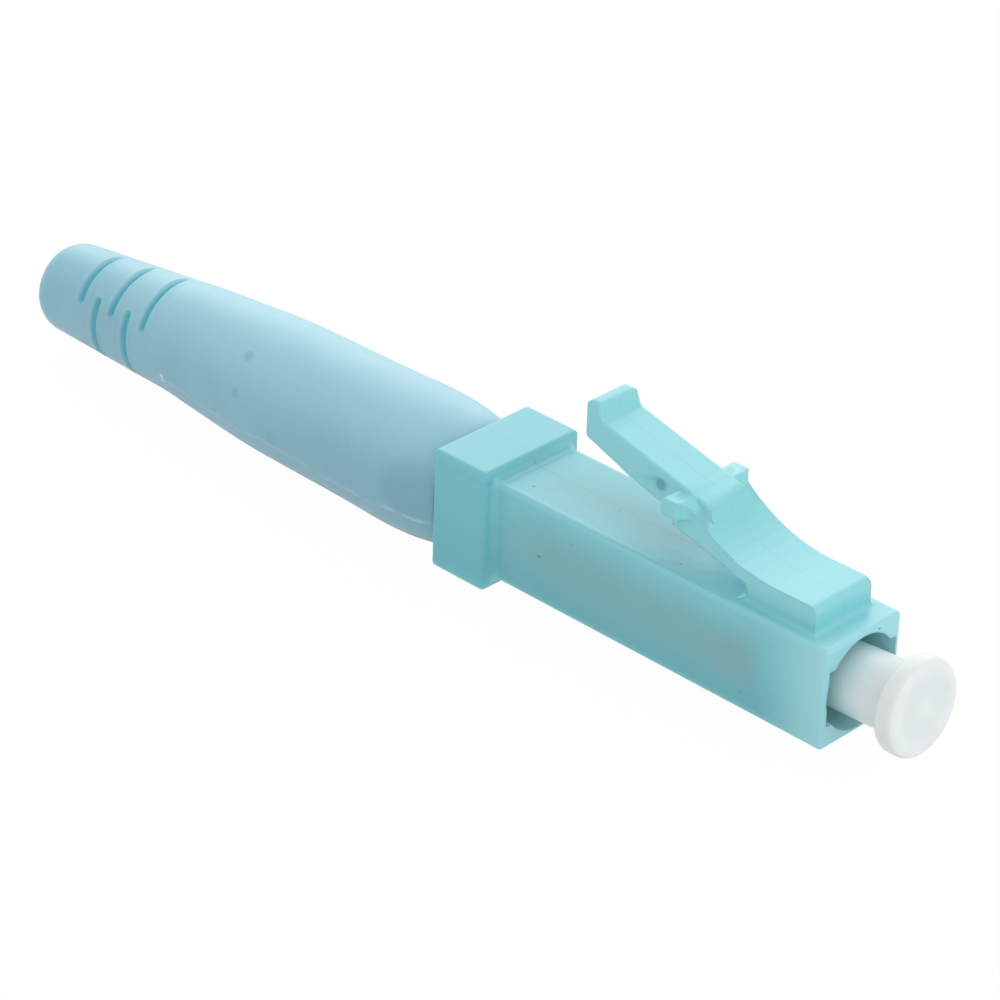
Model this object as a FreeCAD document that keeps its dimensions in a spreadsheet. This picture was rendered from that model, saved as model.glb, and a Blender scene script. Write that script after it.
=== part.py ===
"""LC fibre connector: a one-piece latched plug with a long soft boot and a dust cap.

Frame, in millimetres: the origin is on the connector's axis at the front face of the square
collar, +X runs forward to the ferrule's tip, +Y to the left and +Z up to the latch.
"""
import FreeCAD, Part
import math
import os
import re

import Sketcher

Vector = FreeCAD.Vector

doc = FreeCAD.newDocument("lc_fibre_connector")
sheet = doc.addObject("Spreadsheet::Sheet", "dim")

# ---------------------------------------------------------------- driving dimensions
SIZES = {
    # plug body and collar, one moulding
    "plug_width": 4.50,
    "plug_height": 4.60,
    "plug_length": 17.93,
    "plug_edge": 0.18,
    "collar_side": 5.64,
    "collar_length": 3.07,
    "collar_edge": 0.24,
    "collar_root": 0.35,
    "chamber_radius": 1.80,
    "web_front": 14.80,
    "web_thickness": 0.60,
    "web_hole_radius": 1.10,
    "mouth_radius": 2.08,
    "mouth_width": 4.00,
    "mouth_slot_height": 2.50,
    # latch: root block, flexure, lugs and thumb tab
    "latch_width": 3.36,
    "block_front": 16.78,
    "block_height": 1.20,
    "block_nose": 0.35,
    "block_edge": 0.12,
    "block_root": 0.22,
    "flexure_back": 12.80,
    "crotch_radius": 0.42,
    "sweep_radius": 7.00,
    "sweep_foot": 14.65,
    "lug_back": 8.90,
    "lug_length": 0.92,
    "lug_span": 4.40,
    "lug_bottom": 4.57,
    "lug_top": 5.38,
    "lug_round": 0.26,
    "lug_fairing": 0.45,
    "lug_heel": 0.32,
    "lug_edge": 0.16,
    "underside_slope": 14.2,
    "tab_width": 2.36,
    "tab_slope": 13.5,
    "tab_back": 3.88,
    "tab_rise": 5.18,
    "step_front": 10.74,
    "step_lean": 0.24,
    "tab_heel": 6.30,
    "tab_heel_rise": 0.62,
    "tab_end_bottom": 5.62,
    "lip_height": 0.72,
    "lip_length": 0.64,
    "lip_round": 0.26,
    "lip_foot": 0.28,
    "tab_edge": 0.14,
    "dimple_back": 8.05,
    "dimple_height": 5.15,
    "dimple_radius": 0.22,
    "dimple_depth": 0.12,
    # ferrule and what floats with it
    "ferrule_radius": 0.6245,
    "ferrule_length": 6.50,
    "ferrule_tip": 19.00,
    "ferrule_chamfer": 0.15,
    "head_radius": 1.58,
    "head_length": 2.00,
    "nose_radius": 1.00,
    "nose_length": 1.00,
    "tail_radius": 0.85,
    "tail_back": 6.20,
    "guide_radius": 0.45,
    "guide_bore": 0.20,
    "guide_back": -5.00,
    "coating_radius": 0.125,
    "fibre_radius": 0.0625,
    "fibre_back": -13.80,
    "running_gap": 0.05,
    "float_travel": 0.80,
    # spring
    "wire_radius": 0.14,
    "coil_radius": 1.20,
    "coil_turns": 5.0,
    # rear body, crimp sleeve and splice protector
    "seat_front": 7.20,
    "seat_gap": 0.02,
    "rear_flange": 0.30,
    "rear_flange_radius": 2.20,
    "post_bore": 0.95,
    "lead_bore": 0.60,
    "barrel_radius": 1.34,
    "barrel_back": -8.00,
    "barrel_groove": 0.12,
    "barrel_groove_count": 3,
    "barrel_groove_pitch": 1.00,
    "crimp_wall": 0.41,
    "crimp_length": 4.20,
    "crimp_front": -3.40,
    "splice_length": 11.50,
    "splice_radius": 1.40,
    "splice_bore": 1.10,
    "splice_drop": 0.30,
    "melt_radius": 0.58,
    "melt_bore": 0.34,
    "rod_radius": 0.35,
    # boot
    "boot_root_radius": 2.86,
    "boot_bulge_length": 5.15,
    "boot_waist_radius": 3.15,
    "boot_shoulder": 11.45,
    "boot_shoulder_radius": 3.08,
    "boot_neck": 14.95,
    "boot_neck_radius": 2.84,
    "boot_bend": 17.45,
    "boot_bend_radius": 2.64,
    "boot_step": 0.03,
    "boot_drop": 0.10,
    "boot_tail_length": 9.22,
    "boot_tail_radius": 2.06,
    "boot_tail_round": 0.80,
    "boot_droop": 3.0,
    "boot_bulge_sweep": 16.0,
    "boot_shoulder_sweep": 48.0,
    "cable_bore_radius": 1.55,
    "slot_width": 0.26,
    "slot_depth": 0.26,
    "slot_first": 1.35,
    "slot_pitch": 1.09,
    "slot_arc": 107.0,
    "slot_turn": 16.0,
    # dust cap
    "cap_lean": 3.2,
    "cap_engaged": 3.10,
    "cap_bore_gap": 0.10,
    "cap_end_gap": 0.30,
    "cap_barrel_radius": 1.47,
    "cap_barrel_front": 20.19,
    "cap_flange_radius": 2.11,
    "cap_flange_thickness": 0.94,
    "cap_flange_round": 0.24,
    "cap_dish_radius": 1.50,
    "cap_dish_depth": 0.12,
    "cap_gate_radius": 0.28,
    "cap_draft": 0.03,
    "cap_lead": 0.25,
}

for row, (alias, value) in enumerate(SIZES.items(), start=1):
    sheet.set(f"A{row}", alias)
    sheet.set(f"B{row}", str(value))
    sheet.setAlias(f"B{row}", alias)
doc.recompute()

ALIASES = re.compile(r"\b(" + "|".join(sorted(SIZES, key=len, reverse=True)) + r")\b")


def linked(formula):
    """The formula with each size written as a reference to the sheet."""
    return ALIASES.sub(r"dim.\1", str(formula))


def number(formula):
    """The formula's present value, in millimetres or degrees."""
    result = sheet.evalExpression(linked(formula))
    return float(getattr(result, "Value", result))


def bind(thing, **formulas):
    """Tie an object's properties to the sheet."""
    for name, formula in formulas.items():
        thing.setExpression(name, linked(formula))


# ---------------------------------------------------------------- sketch and feature helpers
def new_body(label):
    body = doc.addObject("PartDesign::Body", label)
    body.Label = label
    return body


def new_sketch(body, name, plane):
    sketch = body.newObject("Sketcher::SketchObject", name)
    support = [o for o in body.Origin.OriginFeatures if o.Role == plane + "_Plane"][0]
    sketch.AttachmentSupport = (support, [""])
    sketch.MapMode = "FlatFace"
    return sketch


def pin_point(sketch, geometry, end, point):
    """Hold one end of a line or arc at formulas for its place from the sketch's origin."""
    for kind, formula in zip(("DistanceX", "DistanceY"), point):
        index = sketch.addConstraint(
            Sketcher.Constraint(kind, -1, 1, geometry, end, number(formula)))
        sketch.setExpression(f"Constraints[{index}]", linked(formula))


def arc_between(start, finish, radius, clockwise):
    """The short arc of this radius from start to finish."""
    middle = (start + finish) / 2
    chord = finish - start
    rise = math.sqrt(max(radius ** 2 - (chord.Length / 2) ** 2, 0.0))
    side = -1 if clockwise else 1
    normal = Vector(-chord.y, chord.x, 0).normalize() * side
    centre = middle + normal * rise
    first, last = (finish, start) if clockwise else (start, finish)
    angles = [math.atan2(p.y - centre.y, p.x - centre.x) for p in (first, last)]
    circle = Part.Circle(centre, Vector(0, 0, 1), radius)
    return Part.ArcOfCircle(circle, angles[0], angles[1])


def closed_outline(sketch, corners):
    """Draw a closed outline through the corners.

    A corner is (x, y), followed by a line to the next corner, or
    (x, y, radius, "left" or "right"), followed by an arc that turns that way.
    """
    count = len(corners)
    starts = []
    for i, corner in enumerate(corners):
        here = Vector(number(corner[0]), number(corner[1]), 0)
        following = corners[(i + 1) % count]
        there = Vector(number(following[0]), number(following[1]), 0)
        if len(corner) == 2:
            index = sketch.addGeometry(Part.LineSegment(here, there), False)
            starts.append((index, 1, 2))
            continue
        clockwise = corner[3] == "right"
        arc = arc_between(here, there, number(corner[2]), clockwise)
        index = sketch.addGeometry(arc, False)
        starts.append((index, 2, 1) if clockwise else (index, 1, 2))
        radius_index = sketch.addConstraint(
            Sketcher.Constraint("Radius", index, number(corner[2])))
        sketch.setExpression(f"Constraints[{radius_index}]", linked(corner[2]))
    for i in range(count):
        index, _, end = starts[i]
        next_index, next_start, _ = starts[(i + 1) % count]
        sketch.addConstraint(Sketcher.Constraint("Coincident", index, end,
                                                 next_index, next_start))
    for (index, start, _), corner in zip(starts, corners):
        pin_point(sketch, index, start, corner[:2])


def circle_at(sketch, x, y, radius):
    centre = Vector(number(x), number(y), 0)
    index = sketch.addGeometry(Part.Circle(centre, Vector(0, 0, 1), number(radius)), False)
    pin_point(sketch, index, 3, (x, y))
    radius_index = sketch.addConstraint(Sketcher.Constraint("Radius", index, number(radius)))
    sketch.setExpression(f"Constraints[{radius_index}]", linked(radius))


def rectangle(sketch, half_width, half_height):
    closed_outline(sketch, [(f"-({half_width})", f"-({half_height})"),
                            (half_width, f"-({half_height})"),
                            (half_width, half_height),
                            (f"-({half_width})", half_height)])


def feature(body, kind, name, sketch, **settings):
    made = body.newObject("PartDesign::" + kind, name)
    made.Profile = sketch
    for key, setting in settings.items():
        setattr(made, key, setting)
    return made


def pad_across(body, name, corners, width):
    """Pad an XZ outline evenly to both sides of the middle plane."""
    sketch = new_sketch(body, name + "_sketch", "XZ")
    closed_outline(sketch, corners)
    pad = feature(body, "Pad", name, sketch, SideType="Symmetric")
    bind(pad, Length=width)
    doc.recompute()
    return pad


def turned(body, name, corners, kind="Revolution", drop="0"):
    """Turn an outline, given as (distance along, radius), round a line that far below the axis."""
    sketch = new_sketch(body, name + "_sketch", "XZ")
    sketch.setExpression("AttachmentOffset.Base.y", linked(f"-({drop})"))
    closed_outline(sketch, corners)
    made = feature(body, kind, name, sketch, ReferenceAxis=(sketch, ["H_Axis"]), Angle=360.0)
    doc.recompute()
    return made


def edges_of(made, test):
    """Names of the edges whose centre, box and direction pass the test."""
    names = []
    for index, edge in enumerate(made.Shape.Edges, start=1):
        if test(edge.CenterOfGravity, edge.BoundBox, edge):
            names.append(f"Edge{index}")
    if not names:
        raise RuntimeError("no edge found to round on " + made.Label)
    return names


def rounded(body, name, base, radius, test):
    fillet = body.newObject("PartDesign::Fillet", name)
    fillet.Base = (base, edges_of(base, test))
    bind(fillet, Radius=radius)
    doc.recompute()
    return fillet


def near(a, b, tolerance=0.01):
    return abs(a - b) < tolerance


# ---------------------------------------------------------------- plug housing
HALF_WIDTH = "plug_width / 2"
HALF_HEIGHT = "plug_height / 2"
SWEEP_FLOOR = "plug_height / 2 + block_height - 0.02"


def sweep_height(x):
    """Height of the latch's hollow upper curve above the axis at x."""
    return (f"{SWEEP_FLOOR} + sweep_radius"
            f" - sqrt(sweep_radius ^ 2 - (sweep_foot - ({x})) ^ 2)")


FLEXURE_UNDERSIDE = "plug_height / 2 + 2 * crotch_radius"


def make_housing():
    """Plug body, collar and the latch's root block: one moulding."""
    body = new_body("housing")
    plug = new_sketch(body, "plug_outline", "YZ")
    rectangle(plug, HALF_WIDTH, HALF_HEIGHT)
    plug_pad = feature(body, "Pad", "plug", plug)
    bind(plug_pad, Length="plug_length")
    doc.recompute()

    half_y, half_z = number(HALF_WIDTH), number(HALF_HEIGHT)
    front = number("plug_length")

    def plug_edges(centre, box, edge):
        along = near(abs(centre.y), half_y) and near(abs(centre.z), half_z)
        return along or near(centre.x, front)

    soft_plug = rounded(body, "plug_edges", plug_pad, "plug_edge", plug_edges)

    collar = new_sketch(body, "collar_outline", "YZ")
    rectangle(collar, "collar_side / 2", "collar_side / 2")
    collar_pad = feature(body, "Pad", "collar", collar, Reversed=True)
    bind(collar_pad, Length="collar_length")
    doc.recompute()

    half = number("collar_side / 2")

    def collar_edges(centre, box, edge):
        return near(max(abs(centre.y), abs(centre.z)), half) and centre.x < 0.01

    soft_collar = rounded(body, "collar_edges", collar_pad, "collar_edge", collar_edges)

    def root_edges(centre, box, edge):
        inside = max(abs(centre.y), abs(centre.z)) < half - number("collar_edge")
        return near(centre.x, 0) and inside and box.XLength < 0.01

    soft_root = rounded(body, "collar_root", soft_collar, "collar_root", root_edges)

    block = pad_across(body, "latch_block", [
        ("flexure_back", "plug_height / 2 - 0.3"),
        ("block_front", "plug_height / 2 - 0.3"),
        ("block_front - 0.04", f"{SWEEP_FLOOR} + 0.02"),
        ("sweep_foot", SWEEP_FLOOR, "sweep_radius", "right"),
        ("flexure_back", sweep_height("flexure_back")),
        ("flexure_back", FLEXURE_UNDERSIDE, "crotch_radius", "right"),
        ("flexure_back + crotch_radius", "plug_height / 2 + crotch_radius",
         "crotch_radius", "right"),
        ("flexure_back", "plug_height / 2"),
    ], "latch_width")

    block_front = number("block_front")
    floor = number(SWEEP_FLOOR)

    def nose_edge(centre, box, edge):
        return near(centre.z, floor, 0.05) and centre.x > block_front - 0.1

    soft_nose = rounded(body, "block_nose", block, "block_nose", nose_edge)

    def foot_edges(centre, box, edge):
        at_foot = near(centre.z, half_z) and box.ZLength < 0.01
        beside = number("flexure_back + 0.05") < centre.x < block_front + 0.1
        return at_foot and beside and abs(centre.y) < number("latch_width / 2 + 0.01")

    soft_foot = rounded(body, "block_root", soft_nose, "block_root", foot_edges)

    bores = turned(body, "bores", [
        ("-collar_length - 1", "0"),
        ("plug_length + 1", "0"),
        ("plug_length + 1", "mouth_radius"),
        ("web_front", "mouth_radius"),
        ("web_front", "web_hole_radius"),
        ("web_front - web_thickness", "web_hole_radius"),
        ("web_front - web_thickness", "chamber_radius"),
        ("-collar_length - 1", "chamber_radius"),
    ], kind="Groove")

    mouth = new_sketch(body, "mouth_outline", "YZ")
    rectangle(mouth, "mouth_width / 2", "mouth_slot_height / 2")
    mouth.setExpression("AttachmentOffset.Base.z", linked("web_front"))
    before = bores.Shape.Volume
    mouth_pocket = feature(body, "Pocket", "mouth", mouth, Reversed=True)
    bind(mouth_pocket, Length="plug_length - web_front + 1")
    doc.recompute()
    if mouth_pocket.Shape.Volume >= before:
        raise RuntimeError("the mouth's pocket cut nothing")
    return body


# ---------------------------------------------------------------- latch lever
def underside_height(x):
    """Height of the lever's sloping underside above the axis at x."""
    return f"{FLEXURE_UNDERSIDE} + (flexure_back - ({x})) * tan(underside_slope * 1deg)"


def tab_height(x):
    """Height of the thumb tab's upper face above the axis at x."""
    return f"tab_rise + (step_front - ({x})) * tan(tab_slope * 1deg)"


LUG_FRONT = "lug_back + lug_length"
STEP_FOOT = "step_front + step_lean"
LIP_FOOT = "tab_back + lip_length + lip_foot"


def add_flexure(body):
    return pad_across(body, "flexure", [
        ("flexure_back", FLEXURE_UNDERSIDE),
        ("flexure_back", sweep_height("flexure_back"), "sweep_radius", "right"),
        (f"{LUG_FRONT} + lug_fairing / 2", sweep_height(f"{LUG_FRONT} + lug_fairing / 2")),
        ("lug_back + lug_heel", "lug_top - 0.1"),
        ("lug_back + lug_heel", underside_height("lug_back + lug_heel")),
    ], "latch_width")


def add_lugs(body):
    """The two lugs that catch in the adapter, faired into the flexure in front of them."""
    half, inner = "lug_span / 2", "latch_width / 2"
    fairing_front = f"{LUG_FRONT} + lug_fairing"
    plan = new_sketch(body, "lugs_outline", "XY")
    plan.setExpression("AttachmentOffset.Base.z", linked("lug_bottom"))
    closed_outline(plan, [
        ("lug_back", f"-{half}"),
        (LUG_FRONT, f"-{half}"),
        (LUG_FRONT, f"-{inner} - lug_fairing", "lug_fairing", "right"),
        (fairing_front, f"-{inner}"),
        (fairing_front, inner, "lug_fairing", "right"),
        (LUG_FRONT, f"{inner} + lug_fairing"),
        (LUG_FRONT, half),
        ("lug_back", half),
    ])
    lugs = feature(body, "Pad", "lugs", plan)
    bind(lugs, Length="lug_top - lug_bottom")
    doc.recompute()

    above = new_sketch(body, "sweep_outline", "XZ")
    closed_outline(above, [
        (LUG_FRONT, "lug_top + 1"),
        (LUG_FRONT, sweep_height(LUG_FRONT), "sweep_radius", "left"),
        (f"{fairing_front} + 0.2", sweep_height(f"{fairing_front} + 0.2")),
        (f"{fairing_front} + 0.2", "lug_top + 1"),
    ])
    sweep = feature(body, "Pocket", "sweep", above, SideType="Symmetric")
    bind(sweep, Length="lug_span + 1")
    doc.recompute()

    top, back, bottom = number("lug_top"), number("lug_back"), number("lug_bottom")

    def crown(centre, box, edge):
        return near(centre.z, top) and near(centre.x, back)

    domed = rounded(body, "lug_crown", sweep, "lug_round", crown)

    def heel(centre, box, edge):
        return near(centre.z, bottom) and near(centre.x, back)

    heeled = rounded(body, "lug_heel", domed, "lug_round", heel)
    rim = number(half)

    def outer_rim(centre, box, edge):
        return near(abs(centre.y), rim) and box.YLength < 0.01

    return rounded(body, "lug_edges", heeled, "lug_edge", outer_rim)


def add_tab(body):
    """The thumb tab: a thick sloping pad that ends in an upturned lip."""
    lip_base = tab_height(LIP_FOOT)
    heel = underside_height("tab_heel")
    tab = pad_across(body, "tab", [
        (STEP_FOOT, "tab_rise - 0.8"),
        ("step_front", "tab_rise"),
        (LIP_FOOT, lip_base),
        ("tab_back + lip_length", f"{lip_base} + lip_height"),
        ("tab_back", f"{lip_base} + lip_height + 0.04"),
        ("tab_back", "tab_end_bottom + 0.14"),
        ("tab_back + 0.14", "tab_end_bottom"),
        ("tab_heel - 0.75", f"{heel} + 0.30"),
        ("tab_heel", heel),
        (STEP_FOOT, underside_height(STEP_FOOT)),
    ], "tab_width")
    lip_top = number(f"{lip_base} + lip_height")
    half = number("tab_width / 2")

    def lip_edges(centre, box, edge):
        return near(centre.z, lip_top, 0.05) and box.XLength < 0.01

    soft_lip = rounded(body, "lip", tab, "lip_round", lip_edges)
    foot_x, foot_z = number(LIP_FOOT), number(lip_base)

    def foot_edge(centre, box, edge):
        return near(centre.x, foot_x) and near(centre.z, foot_z)

    soft_foot = rounded(body, "lip_foot", soft_lip, "lip_round", foot_edge)

    def side_edges(centre, box, edge):
        outline = near(abs(centre.y), half) and box.YLength < 0.01
        return outline and centre.x < number("lug_back")

    return rounded(body, "tab_edges", soft_foot, "tab_edge", side_edges)


def add_dimple(body):
    """The shallow dimple in the tab's right-hand side."""
    sketch = new_sketch(body, "dimple_outline", "XZ")
    sketch.setExpression("AttachmentOffset.Base.z", linked("tab_width / 2"))
    circle_at(sketch, "dimple_back", "dimple_height", "dimple_radius")
    before = body.Tip.Shape.Volume
    dimple = feature(body, "Pocket", "dimple", sketch)
    bind(dimple, Length="dimple_depth")
    doc.recompute()
    if dimple.Shape.Volume >= before:
        raise RuntimeError("the dimple cut nothing")


def make_latch():
    """The sprung lever: flexure, latching lugs and thumb tab, parted from its root block."""
    body = new_body("latch_lever")
    add_flexure(body)
    add_lugs(body)
    add_tab(body)
    add_dimple(body)


# ---------------------------------------------------------------- ferrule and its float
HEAD_FRONT = "web_front - web_thickness - seat_gap"
HEAD_BACK = f"{HEAD_FRONT} - head_length"
FERRULE_BACK = "ferrule_tip - ferrule_length"


def make_ferrule():
    """Ceramic ferrule with a chamfered tip, a fine bore and a funnel behind."""
    body = new_body("ferrule")
    turned(body, "ferrule_barrel", [
        (FERRULE_BACK, "fibre_radius + 0.18"),
        (FERRULE_BACK, "ferrule_radius - 0.05"),
        (f"{FERRULE_BACK} + 0.05", "ferrule_radius"),
        ("ferrule_tip - ferrule_chamfer * 2", "ferrule_radius"),
        ("ferrule_tip", "ferrule_radius - ferrule_chamfer"),
        ("ferrule_tip", "fibre_radius"),
        (f"{FERRULE_BACK} + 0.40", "fibre_radius"),
    ])


def make_flange():
    """Metal flange pressed on the ferrule: seating head, nose and a tube tail for the spring."""
    body = new_body("ferrule_flange")
    turned(body, "flange", [
        ("tail_back", "guide_radius"),
        ("tail_back", "tail_radius"),
        (HEAD_BACK, "tail_radius"),
        (HEAD_BACK, "head_radius - 0.1"),
        (f"{HEAD_BACK} + 0.1", "head_radius"),
        (f"{HEAD_FRONT} - 0.35", "head_radius"),
        (HEAD_FRONT, "head_radius - 0.35"),
        (HEAD_FRONT, "nose_radius"),
        (f"{HEAD_FRONT} + nose_length - 0.1", "nose_radius"),
        (f"{HEAD_FRONT} + nose_length", "nose_radius - 0.1"),
        (f"{HEAD_FRONT} + nose_length", "ferrule_radius"),
        (FERRULE_BACK, "ferrule_radius"),
        (FERRULE_BACK, "guide_radius"),
    ])


def make_guide_tube():
    """Soft tube that leads the coated fibre into the back of the ferrule."""
    body = new_body("fibre_guide_tube")
    turned(body, "guide", [
        ("guide_back", "guide_bore"),
        ("guide_back", "guide_radius"),
        (FERRULE_BACK, "guide_radius"),
        (FERRULE_BACK, "guide_bore"),
    ])


def make_fibre_stub():
    """Factory fibre: bare glass in the ferrule's bore, coated from there to the splice."""
    body = new_body("fibre_stub")
    turned(body, "fibre", [
        ("fibre_back", "0"),
        ("fibre_back", "coating_radius"),
        (f"{FERRULE_BACK} - 0.2", "coating_radius"),
        (f"{FERRULE_BACK} - 0.1", "fibre_radius"),
        ("ferrule_tip", "fibre_radius"),
        ("ferrule_tip", "0"),
    ])


def make_spring():
    """Compression spring that holds the flange forward against the web."""
    body = new_body("spring")
    sketch = new_sketch(body, "wire", "XZ")
    sides = 6
    closed_outline(sketch, [
        (f"seat_front + wire_radius + wire_radius * cos({360 * side / sides + 30} * 1deg)",
         f"coil_radius + wire_radius * sin({360 * side / sides + 30} * 1deg)")
        for side in range(sides)])
    coil = body.newObject("PartDesign::AdditiveHelix", "coil")
    coil.Profile = sketch
    coil.ReferenceAxis = (sketch, ["H_Axis"])
    coil.Mode = "height-turns-angle"
    bind(coil, Height=f"{HEAD_BACK} - seat_front - 2 * wire_radius", Turns="coil_turns")
    doc.recompute()


# ---------------------------------------------------------------- rear body and splice
BARREL_FRONT = "-collar_length - rear_flange"
CRIMP_BACK = "crimp_front - crimp_length"
CRIMP_RADIUS = "barrel_radius + crimp_wall"


def make_rear_body():
    """Metal post that backs the spring and carries the grooved crimping barrel."""
    body = new_body("rear_body")
    turned(body, "post", [
        ("barrel_back", "lead_bore"),
        ("barrel_back", "barrel_radius - 0.1"),
        ("barrel_back + 0.1", "barrel_radius"),
        (BARREL_FRONT, "barrel_radius"),
        (BARREL_FRONT, "rear_flange_radius"),
        ("-collar_length", "rear_flange_radius"),
        ("-collar_length", "chamber_radius"),
        ("seat_front - 0.15", "chamber_radius"),
        ("seat_front", "chamber_radius - 0.15"),
        ("seat_front", "post_bore"),
        ("tail_back - float_travel - 0.2", "post_bore"),
        ("tail_back - float_travel - 0.5", "lead_bore"),
    ])
    groove = turned(body, "grip_groove", [
        ("barrel_back + 0.9", "barrel_radius - barrel_groove"),
        ("barrel_back + 1.3", "barrel_radius - barrel_groove"),
        ("barrel_back + 1.4", "barrel_radius + 0.1"),
        ("barrel_back + 0.8", "barrel_radius + 0.1"),
    ], kind="Groove")
    axis = [o for o in body.Origin.OriginFeatures if o.Role == "X_Axis"][0]
    pattern = body.newObject("PartDesign::LinearPattern", "grip_grooves")
    pattern.Originals = [groove]
    pattern.Direction = (axis, [""])
    bind(pattern, Occurrences="barrel_groove_count",
         Length="barrel_groove_pitch * (barrel_groove_count - 1)")
    body.Tip = pattern
    doc.recompute()


def make_crimp_sleeve():
    """Sleeve crimped over the barrel to hold the cable's strength yarn."""
    body = new_body("crimp_sleeve")
    turned(body, "crimp", [
        (CRIMP_BACK, "barrel_radius"),
        (CRIMP_BACK, f"{CRIMP_RADIUS} - 0.08"),
        (f"{CRIMP_BACK} + 0.08", CRIMP_RADIUS),
        ("crimp_front - 0.08", CRIMP_RADIUS),
        ("crimp_front", f"{CRIMP_RADIUS} - 0.08"),
        ("crimp_front", "barrel_radius"),
    ])


def tube(label, back, front, outer, inner, drop):
    """A plain tube, or a rod where the inner radius is zero, lying below the axis by the drop."""
    body = new_body(label)
    turned(body, label + "_wall", [
        (back, inner), (back, outer), (front, outer), (front, inner)], drop=drop)


SPLICE_FRONT = "barrel_back - 0.1"
SPLICE_BACK = f"{SPLICE_FRONT} - splice_length"


def make_splice():
    """Shrunk protector over the fusion splice: outer tube, inner melt tube and steel rod."""
    tube("splice_sleeve", SPLICE_BACK, SPLICE_FRONT, "splice_radius", "splice_bore", "splice_drop")
    tube("splice_melt_tube", f"{SPLICE_BACK} + 0.4", f"{SPLICE_FRONT} - 0.4",
         "melt_radius", "melt_bore", "0")
    tube("splice_rod", f"{SPLICE_BACK} + 0.6", f"{SPLICE_FRONT} - 0.6",
         "rod_radius", "0", "melt_radius + rod_radius")


# ---------------------------------------------------------------- boot
BEND = "-collar_length - boot_bend"


def tail_placement(drop, turn="0"):
    """Formula for a sketch along the drooping tail, that far below it and turned about it."""
    return (f"placement(vector({BEND}; -({drop}); 0); rotation(vector(0; 0; 1); boot_droop)"
            f" * rotation(vector(1; 0; 0); {turn}))")


def tail_turned(body, name, corners, kind, drop):
    """Turn an outline drawn along the tail, whose distances are measured back from the bend."""
    sketch = new_sketch(body, name + "_sketch", "XZ")
    sketch.setExpression("AttachmentOffset", linked(tail_placement(drop)))
    closed_outline(sketch, corners)
    made = feature(body, kind, name, sketch, ReferenceAxis=(sketch, ["H_Axis"]), Angle=360.0)
    doc.recompute()
    return made


def cut_relief_slots(body):
    """Bend-relief slots round the tail: each level has a pair, turned a quarter from the last."""
    for level in range(5):
        back = f"slot_first + {level} * slot_pitch"
        turn = "slot_turn" if level % 2 == 0 else "slot_turn + 90"
        for half_turn in ("0", "180"):
            name = f"relief_slot_{level + 1}_{'a' if half_turn == '0' else 'b'}"
            sketch = new_sketch(body, name + "_sketch", "XZ")
            placed = tail_placement("boot_drop", f"{turn} + {half_turn}")
            sketch.setExpression("AttachmentOffset", linked(placed))
            surface = f"boot_bend_radius - ({back}) * (boot_bend_radius - boot_tail_radius)" \
                      f" / boot_tail_length"
            closed_outline(sketch, [
                (f"-({back}) - slot_width / 2", f"{surface} - slot_depth"),
                (f"-({back}) + slot_width / 2", f"{surface} - slot_depth"),
                (f"-({back}) + slot_width / 2", f"{surface} + 0.2"),
                (f"-({back}) - slot_width / 2", f"{surface} + 0.2"),
            ])
            before = body.Tip.Shape.Volume
            groove = feature(body, "Groove", name, sketch, Midplane=True,
                             ReferenceAxis=(sketch, ["H_Axis"]))
            bind(groove, Angle="slot_arc")
            doc.recompute()
            if groove.Shape.Volume >= before:
                raise RuntimeError("a relief slot cut nothing")


def make_boot():
    """Long soft boot: full over the splice, tapering and drooping to the cable's end."""
    body = new_body("boot")
    turned(body, "boot_front", [
        ("-collar_length", "0"),
        ("-collar_length", "boot_root_radius", "boot_bulge_sweep", "left"),
        ("-collar_length - boot_bulge_length", "boot_waist_radius"),
        ("-collar_length - boot_shoulder", "boot_shoulder_radius", "boot_shoulder_sweep", "left"),
        ("-collar_length - boot_neck", "boot_neck_radius"),
        (BEND, "boot_bend_radius"),
        (BEND, "0"),
    ], drop="boot_drop")
    tail = tail_turned(body, "boot_tail", [
        ("1", "0"),
        ("1", "boot_bend_radius - boot_step"),
        ("0", "boot_bend_radius - boot_step"),
        ("-boot_tail_length", "boot_tail_radius"),
        ("-boot_tail_length", "0"),
    ], "Revolution", "boot_drop")
    tail_x = number(f"{BEND} - boot_tail_length")

    def tail_rim(centre, box, edge):
        return near(centre.x, tail_x, 0.3) and box.ZLength > number("boot_tail_radius")

    rounded(body, "tail_rim", tail, "boot_tail_round", tail_rim)
    turned(body, "front_bores", [
        ("-collar_length + 1", "0"),
        ("-collar_length + 1", "rear_flange_radius"),
        (BARREL_FRONT, "rear_flange_radius"),
        (BARREL_FRONT, CRIMP_RADIUS),
        (f"{BEND} - 0.2", CRIMP_RADIUS),
        (f"{BEND} - 0.2", "0"),
    ], kind="Groove")
    tail_turned(body, "cable_bore", [
        ("0.5", "0"),
        ("0.5", "cable_bore_radius"),
        ("-boot_tail_length - 1", "cable_bore_radius"),
        ("-boot_tail_length - 1", "0"),
    ], "Groove", "0")
    cut_relief_slots(body)


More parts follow.
